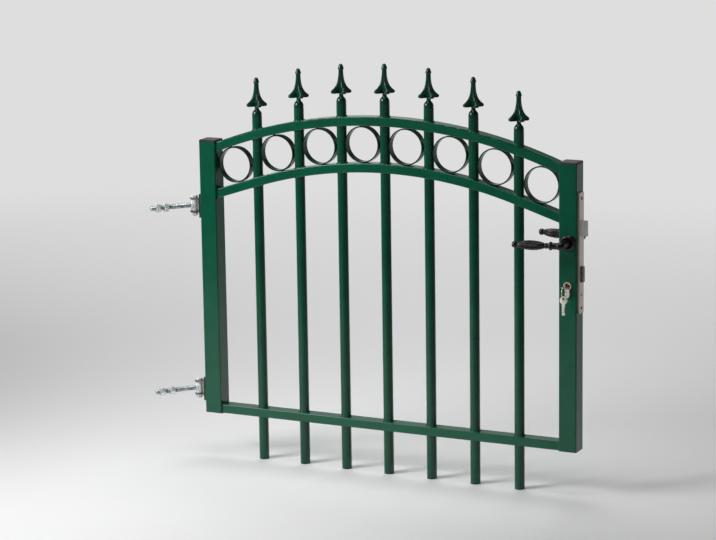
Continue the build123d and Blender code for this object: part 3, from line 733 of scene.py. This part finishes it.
nuts = []
for which, (seat, gap) in NUT_SEATS.items():
    for distance in (seat - NUT_HEIGHT, seat + gap):
        nut = bored(hexagon_blank(NUT_FLATS, NUT_HEIGHT), THREAD_ROOT + NUT_CLEARANCE, NUT_HEIGHT)
        bevelled(nut, NUT_BEVEL, SHARP_EDGE)
        nuts.append(along_rod(nut, distance, (hinge_x, hinge_y, hinge_heights[which])))
zinc_plate = zinc_plating("bright_zinc", (0.80, 0.83, 0.85), (0.93, 0.94, 0.95), 0.4)
finished(smoothed(joined("clamp_nuts", nuts), 30), zinc_plate, "post_bolts", "zinc", "post_nuts")

# Hinge pins: plated hexagon bolts dropped through the lugs and the eye, each with a nut below.
# A little of the bolt's end shows under the nut.
PIN_RADIUS = 0.004
PIN_FLATS = 0.013
PIN_NUT = 0.007
PIN_END = 0.0025
PIN_CHAMFER = 0.0007
PIN_INTO_HEAD = 0.001
PIN_BEVEL = 0.0002
HEAD_HEIGHT = 0.006
LUG_OUTER = 0.0164


def hinge_pin(height):
    """A hinge bolt with its nut, at a hinge's height."""
    head = settle(hexagon_blank(PIN_FLATS, HEAD_HEIGHT, both_ends=False), (0, 0, LUG_OUTER))
    nut = settle(hexagon_blank(PIN_FLATS, PIN_NUT), (0, 0, -LUG_OUTER - PIN_NUT))
    end = -LUG_OUTER - PIN_NUT - PIN_END
    shank = turned(
        "shank",
        [
            (0, end),
            (PIN_RADIUS - PIN_CHAMFER, end),
            (PIN_RADIUS, end + PIN_CHAMFER),
            (PIN_RADIUS, LUG_OUTER + PIN_INTO_HEAD),
            (0, LUG_OUTER + PIN_INTO_HEAD),
        ],
        32,
    )
    pin = bevelled(joined("pin", [head, nut, shank]), PIN_BEVEL, SHARP_EDGE)
    return settle(pin, (hinge_x, hinge_y, height))


pins = [hinge_pin(height) for height in hinge_heights.values()]
finished(smoothed(joined("hinge_bolts", pins), 30), satin_zinc, "leaf", "zinc", "hinge_pins")

# Lock: a mortise case in the stile behind a rolled steel forend, passivated to a warm beige grey.
# The forend is held by countersunk screws, and a small one between them holds the cylinder.
ROLLED = (1500, 3, (1, 1, 0.03))
forend_steel = mottled_finish(
    "warm_forend_steel",
    mottle=ROLLED,
    shades=((0.74, 0.66, 0.61), (0.90, 0.81, 0.75)),
    rough=(0.34, 0.48),
    grain=ROLLED,
    relief=(0.06, 0.0001),
    metal=0.85,
)
dress(forend_steel, "lock_case")
case_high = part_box("lock_case")[1]
# Each screw's height over the leaf's foot and the radius of its head
FOREND_SCREWS = ((0.5475, 0.0036), (0.3125, 0.0036), (0.3405, 0.0024))
SCREW_SINK = 0.002
SCREW_RIM = 0.0005
SCREW_CROWN = 0.0007
SLOT_WIDTH = 0.0009
SLOT_HEIGHT = 0.0016
SLOT_MIDDLE = 0.0006
SLOT_TURN = radians(25)


def block(width, depth, height, place, turn=(0, 0, 0)):
    """A plain block with its middle at a place."""
    bpy.ops.object.select_all(action="DESELECT")
    bpy.ops.mesh.primitive_cube_add(size=1)
    cube = bpy.context.object
    cube.scale = (width, depth, height)
    return settle(cube, place, turn)


def slotted_screw(height, radius):
    """A countersunk head sunk flush in the forend, with a slot."""
    profile = [
        (0, -SCREW_SINK),
        (radius * 0.6, -SCREW_SINK),
        (radius, 0),
        (radius * 0.92, SCREW_RIM),
        (0, SCREW_CROWN),
    ]
    head = turned("head", profile, 28)
    slot = block(SLOT_WIDTH, radius * 3, SLOT_HEIGHT, (0, 0, SLOT_MIDDLE), (0, 0, SLOT_TURN))
    boolean(head, slot, "DIFFERENCE")
    return settle(head, (case_high.x, leaf_y, leaf_foot + height), (0, pi / 2, 0))


screws = [slotted_screw(height, radius) for height, radius in FOREND_SCREWS]
screw_steel = zinc_plating("blackened_screw", (0.03, 0.026, 0.024), (0.07, 0.06, 0.055), 0.9)
finished(smoothed(joined("forend_screws", screws), 30), screw_steel, "leaf", "forend_steel")


# Latch and dead bolt: the latch is bright nickel plate, as the spindle is, and the dead bolt is dark warm
# metal, darkened as painted shade for its shaded side.
# Both slide through the forend's windows and are drawn smooth along their length.
def drawn_metal(name, dull, bright, metal):
    """Metal between two tones with fine marks that run along the bolt."""
    return mottled_finish(
        name,
        mottle=(220, 3),
        shades=(dull, bright),
        rough=(0.20, 0.32),
        grain=(1400, 2, (0.05, 1, 1)),
        relief=(0.06, 0.0001),
        metal=metal,
    )


bolt_nickel = drawn_metal("bright_nickel", (0.95, 0.96, 0.96), (0.98, 0.98, 0.98), 0.0)
dress(bolt_nickel, "latch_bolt", "spindle")
# The dead bolt's dark tone is painted shade for the shadow and dark reflection on its side.
dead_bolt_painted_shade = drawn_metal("bronzed_bolt", (0.14, 0.11, 0.10), (0.22, 0.18, 0.16), 1.0)
dress(dead_bolt_painted_shade, "dead_bolt")


# Cylinder: a keyhole-shaped bar of nickel-plated brass through the stile, with a turning plug.
# The plating is warmer than the latch's and shows fine turning marks, and the plug is brass darkened as
# painted shade for the keyway round the key.
def plated_brass(name, dull, bright, metal, rough):
    """Brass between two tones, bare or plated, with fine turning marks."""
    return mottled_finish(
        name,
        mottle=(260, 3),
        shades=(dull, bright),
        rough=rough,
        grain=(1800, 2),
        relief=(0.06, 0.0001),
        metal=metal,
    )


cylinder_brass = plated_brass("plated_brass", (0.76, 0.73, 0.64), (0.90, 0.87, 0.80), 0.5, (0.20, 0.32))
# The plug's brass is darkened to a deep brown: painted shade for the recess round the key.
plug_painted_shade_brass = plated_brass("bare_brass", (0.20, 0.12, 0.07), (0.34, 0.21, 0.12), 1.0, (0.18, 0.30))
dress(cylinder_brass, "lock_cylinder")
dress(plug_painted_shade_brass, "cylinder_plug")

# Keys: stamped plated blanks with a pierced round bow, a shoulder and a blade cut along one edge.
# One is turned level in the plug, and the other hangs from a ring through the first one's bow, whose
# eye is wider to let the ring's wire bend through it.
KEY_THICKNESS = 0.0022
BOW_HALF = 0.0085
TURNED_EYE = 0.00425
HANGING_EYE = 0.0030
EYE_EDGE = 0.0025
EYE_CUT = 0.01
KEY_SHANK = 0.004
BLADE_HALF = 0.0035
BLADE_END = 0.024
BLADE_THICKNESS = KEY_THICKNESS * 0.96
BLADE_POINT = 0.25
# Each cut's distance along the blade and its depth
KEY_CUTS = ((0.0085, 0.0016), (0.0118, 0.0024), (0.0151, 0.0012), (0.0184, 0.0020))
CUT_SIDE = 0.0026
CUT_CLEAR = 0.0018
GROOVE_WIDTH = 0.0009
GROOVE_HEIGHT = 0.0008
GROOVE_ACROSS = -0.0012
KEY_BEVEL = 0.00025


def stamped_key(eye):
    """A key lying level, with its shoulder at the origin, its blade towards +Y and an eye of this radius."""
    bpy.ops.object.select_all(action="DESELECT")
    bpy.ops.mesh.primitive_cylinder_add(vertices=48, radius=BOW_HALF, depth=KEY_THICKNESS)
    bow = settle(bpy.context.object, (0, -BOW_HALF, 0))
    blade_middle = (BLADE_END - BOW_HALF / 2) / 2
    blade = block(2 * BLADE_HALF, BLADE_END + BOW_HALF / 2, BLADE_THICKNESS, (0, blade_middle, 0))
    bpy.ops.object.mode_set(mode="EDIT")
    chosen(blade, lambda face: face.normal.y > 0.9, "faces")
    bpy.ops.transform.resize(value=(BLADE_POINT, 1, 1))
    bpy.ops.object.mode_set(mode="OBJECT")
    boolean(bow, blade, "UNION")
    hole = turned("hole", [(0, -EYE_CUT), (eye, -EYE_CUT), (eye, EYE_CUT), (0, EYE_CUT)], 36)
    settle(hole, (0, -2 * BOW_HALF + EYE_EDGE + eye, 0))
    boolean(bow, hole, "DIFFERENCE")
    for along, deep in KEY_CUTS:
        notch = block(CUT_SIDE, CUT_SIDE, EYE_CUT, (BLADE_HALF, along, 0), (0, 0, radians(45)))
        settle(notch, (CUT_CLEAR - deep, 0, 0))
        boolean(bow, notch, "DIFFERENCE")
    for face in (-1, 1):
        groove_place = (GROOVE_ACROSS, KEY_SHANK + BLADE_END / 2, face * KEY_THICKNESS / 2)
        boolean(bow, block(GROOVE_WIDTH, BLADE_END, GROOVE_HEIGHT, groove_place), "DIFFERENCE")
    return smoothed(bevelled(bow, KEY_BEVEL, radians(50)), 35)


key_low, key_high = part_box("key")
lock_x = (key_low.x + key_high.x) / 2
key = settle(stamped_key(TURNED_EYE), (lock_x, key_high.y - BLADE_END, (key_low.z + key_high.z) / 2))
key.name = "turned_key"
key_plate = plated_brass("key_plate", (0.62, 0.50, 0.40), (0.78, 0.66, 0.55), 1.0, (0.10, 0.20))
ring_wire = plated_brass("ring_wire", (0.80, 0.70, 0.64), (0.92, 0.82, 0.76), 0.7, (0.12, 0.22))
dress(ring_wire, "key_ring")
finished(key, key_plate, "key", "key_nickel", "key")
spare_low, spare_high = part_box("spare_key")
spare_y = (spare_low.y + spare_high.y) / 2
spare = settle(stamped_key(HANGING_EYE), (lock_x, spare_y, spare_low.z + BLADE_END), (-pi / 2, 0, 0))
spare.name = "hanging_key"
finished(spare, cylinder_brass, "key", "key_nickel", "spare_key")

# Rosettes: turned iron discs with a stepped rim and a raised boss, screwed to both sides of the stile.
# Like the levers they are coated in a satin black over slightly uneven iron.
black_iron = mottled_finish(
    "satin_black_iron",
    mottle=(110, 3),
    shades=((0.0030, 0.0030, 0.0034), (0.0065, 0.0062, 0.0066)),
    rough=(0.20, 0.32),
    grain=(380, 3),
    relief=(0.14, 0.0004),
)
rosette_low, rosette_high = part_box("rosettes")
spindle_z = (rosette_low.z + rosette_high.z) / 2
ROSETTE_PROFILE = [
    (0.0095, 0),
    (0.0172, 0),
    (0.0175, 0.0004),
    (0.0175, 0.0026),
    (0.0170, 0.0034),
    (0.0161, 0.0039),
    (0.0156, 0.0046),
    (0.0151, 0.0062),
    (0.0140, 0.0075),
    (0.0126, 0.0080),
    (0.0112, 0.0077),
    (0.0103, 0.0066),
    (0.0100, 0.0048),
    (0.0095, 0.0042),
    (0.0095, 0),
]
rosettes = []
for side in (-1, 1):
    disc = turned("rosette", ROSETTE_PROFILE, 64)
    rosettes.append(settle(disc, (lock_x, leaf_y + side * stile_half, spindle_z), (-side * pi / 2, 0, 0)))
finished(smoothed(joined("turned_rosettes", rosettes), 40), black_iron, "leaf", "black_iron", "rosettes")

# Levers: cast iron handles on the two ends of the square spindle, each a necked elbow and a reeded grip.
# The grip swells between a collar and a ball end, and leans a little away from the leaf.
LEVER_STAND_OFF = 0.042
LEVER_SPLAY = radians(7.9)
ELBOW_RADIUS = 0.0086
NECK_RADIUS = 0.0092
STEM_GAP = 0.0005
REEDS = 10
REED_POINTS = 4
# The arm as (radius, distance from the elbow)
LEVER_FROM_ELBOW = [
    (0, -0.0052),
    (0.0062, -0.0052),
    (0.0080, -0.0010),
    (0.0083, 0.0040),
    (0.0076, 0.0062),
    (0.0068, 0.0072),
    (0.0068, 0.0082),
    (0.0072, 0.0090),
    (0.0071, 0.0130),
    (0.0068, 0.0182),
    (0.0084, 0.0188),
    (0.0092, 0.0200),
    (0.0092, 0.0226),
    (0.0084, 0.0240),
    (0.0060, 0.0246),
    (0.0056, 0.0260),
    (0.0056, 0.0290),
    (0.0064, 0.0304),
    (0.0064, 0.0320),
    (0.0052, 0.0328),
    (0.0050, 0.0338),
]
# The grip as (radius, distance from the elbow, share of the radius that the grooves take)
GRIP = [
    (0.0060, 0.0350, 0.10),
    (0.0075, 0.0400, 0.10),
    (0.0091, 0.0460, 0.20),
    (0.0101, 0.0540, 0.20),
    (0.0105, 0.0620, 0.20),
    (0.0101, 0.0710, 0.20),
    (0.0089, 0.0800, 0.20),
    (0.0075, 0.0870, 0.20),
    (0.0064, 0.0914, 0.10),
]
LEVER_TIP = [
    (0.0047, 0.0920),
    (0.0044, 0.0930),
    (0.0056, 0.0943),
    (0.0069, 0.0964),
    (0.0073, 0.0990),
    (0.0066, 0.1019),
    (0.0046, 0.1042),
    (0, 0.1050),
]


def reeded_arm():
    """The arm along Z: a turned bar whose grip is grooved between the reeds."""
    segments = REEDS * REED_POINTS
    grip_profile = [(radius, z) for radius, z, _ in GRIP]
    arm = spun("arm", [*LEVER_FROM_ELBOW, *grip_profile, *LEVER_TIP], segments)

    def in_groove(vert):
        return round(atan2(vert.co.y, vert.co.x) / tau * segments) % REED_POINTS == 0

    for _, z, groove in GRIP:
        chosen(arm, lambda v: abs(v.co.z - z) < SAME_HEIGHT and in_groove(v))
        bpy.ops.transform.resize(value=(1 - groove, 1 - groove, 1), center_override=(0, 0, z))
    bpy.ops.object.mode_set(mode="OBJECT")
    return apply_modifier(arm, "SUBSURF", levels=1, render_levels=1)


def lever(side):
    """The lever on one side of the stile, with its stem reaching back to the rosette."""
    arm = reeded_arm()
    settle(arm, (0, 0, 0), (0, -pi / 2, 0))
    settle(arm, (0, 0, 0), (0, 0, -side * LEVER_SPLAY))
    length = LEVER_STAND_OFF - STEM_GAP
    stem = turned(
        "stem",
        [
            (0, -length),
            (NECK_RADIUS, -length),
            (NECK_RADIUS * 0.97, -length * 0.80),
            (NECK_RADIUS * 0.90, -length * 0.45),
            (ELBOW_RADIUS, -0.002),
            (ELBOW_RADIUS * 0.97, 0.0018),
            (ELBOW_RADIUS * 0.80, 0.0042),
            (ELBOW_RADIUS * 0.50, 0.0058),
            (0, 0.0066),
        ],
        48,
    )
    settle(stem, (0, 0, 0), (-side * pi / 2, 0, 0))
    handle = smoothed(boolean(stem, arm, "UNION"), 45)
    return settle(handle, (lock_x, leaf_y + side * (stile_half + LEVER_STAND_OFF), spindle_z))


for side, name in ((-1, "front_lever"), (1, "back_lever")):
    handle = lever(side)
    handle.name = f"reeded_{name}"
    finished(handle, black_iron, "handle", "black_iron", name)

# Studio: a pale floor that fades out into an even pale backdrop, which is darker overhead and in front.
# A gridded softbox stands at the front left, one beside it lights the floor there, one hangs over the leaf
# and a wide bank over the floor behind it.
FLOOR_SIZE = 60
FADE_CENTRE = (-0.5, -1.0)
FADE_START = 1.9
FADE_END = 4.6


def pale_floor():
    """A matt pale floor that turns into open air with the distance from a point in front of the leaf."""
    material, tree, shader = new_finish("pale_floor")
    drift = object_noise(tree, 0.4, 2)
    pale = blended_colour(tree, drift, (0.84, 0.84, 0.845), (0.88, 0.88, 0.885))
    tree.links.new(pale, shader.inputs["Base Color"])
    shader.inputs["Roughness"].default_value = 0.7
    coordinates = tree.nodes.new("ShaderNodeTexCoord")
    shift = tree.nodes.new("ShaderNodeMapping")
    shift.inputs["Location"].default_value = (-FADE_CENTRE[0], -FADE_CENTRE[1], 0)
    distance = tree.nodes.new("ShaderNodeVectorMath")
    distance.operation = "LENGTH"
    fade = tree.nodes.new("ShaderNodeMapRange")
    fade.interpolation_type = "SMOOTHSTEP"
    fade.inputs["From Min"].default_value = FADE_START
    fade.inputs["From Max"].default_value = FADE_END
    open_air = tree.nodes.new("ShaderNodeBsdfTransparent")
    mix = tree.nodes.new("ShaderNodeMixShader")
    tree.links.new(coordinates.outputs["Object"], shift.inputs["Vector"])
    tree.links.new(shift.outputs["Vector"], distance.inputs[0])
    tree.links.new(distance.outputs["Value"], fade.inputs["Value"])
    tree.links.new(fade.outputs["Result"], mix.inputs["Fac"])
    tree.links.new(shader.outputs["BSDF"], mix.inputs[1])
    tree.links.new(open_air.outputs["BSDF"], mix.inputs[2])
    tree.links.new(mix.outputs["Shader"], tree.nodes["Material Output"].inputs["Surface"])
    return material


bpy.ops.object.select_all(action="DESELECT")
bpy.ops.mesh.primitive_plane_add(size=FLOOR_SIZE, location=(leaf_x, leaf_y, cad_box[0].z))
floor = bpy.context.object
floor.name = "studio_floor"
floor.data.materials.append(pale_floor())

# Tone of the backdrop by the sine of the elevation at which it is seen
BACKDROP = ((0, 0.73), (0.17, 0.68), (0.34, 0.12), (1, 0.09))
# The backdrop is dimmed to a share of its tone away from its lit side
LIT_WAY = (-0.65, 0.76, 0)
DIM_FROM, LIT_FROM = 0.2, 0.82
DIM_SHARE = 0.27


def pale_backdrop():
    """The world round the leaf, by the elevation and the side on which it is seen."""
    world = bpy.data.worlds.new("studio")
    world.use_nodes = True
    tree = world.node_tree
    direction = tree.nodes.new("ShaderNodeTexCoord")
    parts = tree.nodes.new("ShaderNodeSeparateXYZ")
    ramp = tree.nodes.new("ShaderNodeValToRGB")
    steps = ramp.color_ramp.elements
    while len(steps) < len(BACKDROP):
        steps.new(0.5)
    for step, (position, tone) in zip(steps, BACKDROP):
        step.position = position
        step.color = (tone, tone, tone * 1.01, 1)
    tree.links.new(direction.outputs["Generated"], parts.inputs["Vector"])
    tree.links.new(parts.outputs["Z"], ramp.inputs["Fac"])
    tree.links.new(ramp.outputs["Color"], tree.nodes["Background"].inputs["Color"])
    dimming = tree.nodes.new("ShaderNodeMapRange")
    dimming.inputs["From Min"].default_value = DIM_FROM
    dimming.inputs["From Max"].default_value = LIT_FROM
    dimming.inputs["To Min"].default_value = DIM_SHARE
    dimming.inputs["To Max"].default_value = 1
    facing = tree.nodes.new("ShaderNodeVectorMath")
    facing.operation = "DOT_PRODUCT"
    facing.inputs[1].default_value = LIT_WAY
    tree.links.new(direction.outputs["Generated"], facing.inputs[0])
    tree.links.new(facing.outputs["Value"], dimming.inputs["Value"])
    tree.links.new(dimming.outputs["Result"], tree.nodes["Background"].inputs["Strength"])
    return world


bpy.context.scene.world = pale_backdrop()

# Each softbox: its place and its target from the leaf's middle, its size, power and spread in degrees
SOFTBOXES = {
    "key_softbox": ((-1.5, -1.5, 1.3), (0, 0, 0), (1.2, 1.2), 8.2, 64),
    "floor_softbox": ((-0.9, -1.3, 1.7), (-0.88, -1.22, -0.4), (0.8, 0.8), 4.0, 66),
    "top_softbox": ((0, -0.3, 2.6), (0, -0.25, -0.4), (1.6, 1.2), 4.4, 84),
    "back_bank": ((-1.2, 2.1, 2.6), (-1.2, 2.0, -0.4), (2.6, 2.4), 40, 130),
}
LEAF_MIDDLE = Vector((leaf_x, leaf_y, 0.25))
for name, (place, target, size, power, spread) in SOFTBOXES.items():
    bpy.ops.object.select_all(action="DESELECT")
    bpy.ops.object.light_add(type="AREA", location=LEAF_MIDDLE + Vector(place))
    lamp = bpy.context.object
    lamp.name = name
    lamp.data.shape = "RECTANGLE"
    lamp.data.size, lamp.data.size_y = size
    lamp.data.energy = power
    lamp.data.spread = radians(spread)
    lamp.rotation_euler = (Vector(target) - Vector(place)).to_track_quat("-Z", "Y").to_euler()

CAMERA_FROM_LEAF = Vector((2.4418, -5.1314, 1.5309))
CAMERA_TURN = (78.36, 0.83, 25.907)
bpy.ops.object.select_all(action="DESELECT")
bpy.ops.object.camera_add(location=Vector((leaf_x, leaf_y, leaf_foot)) + CAMERA_FROM_LEAF)
camera = bpy.context.object
camera.rotation_euler = [radians(angle) for angle in CAMERA_TURN]
camera.data.lens = 133.88
camera.data.sensor_width = 36
camera.data.sensor_fit = "HORIZONTAL"
camera.data.clip_end = 200
bpy.context.scene.camera = camera
bpy.context.scene.view_settings.view_transform = "Standard"
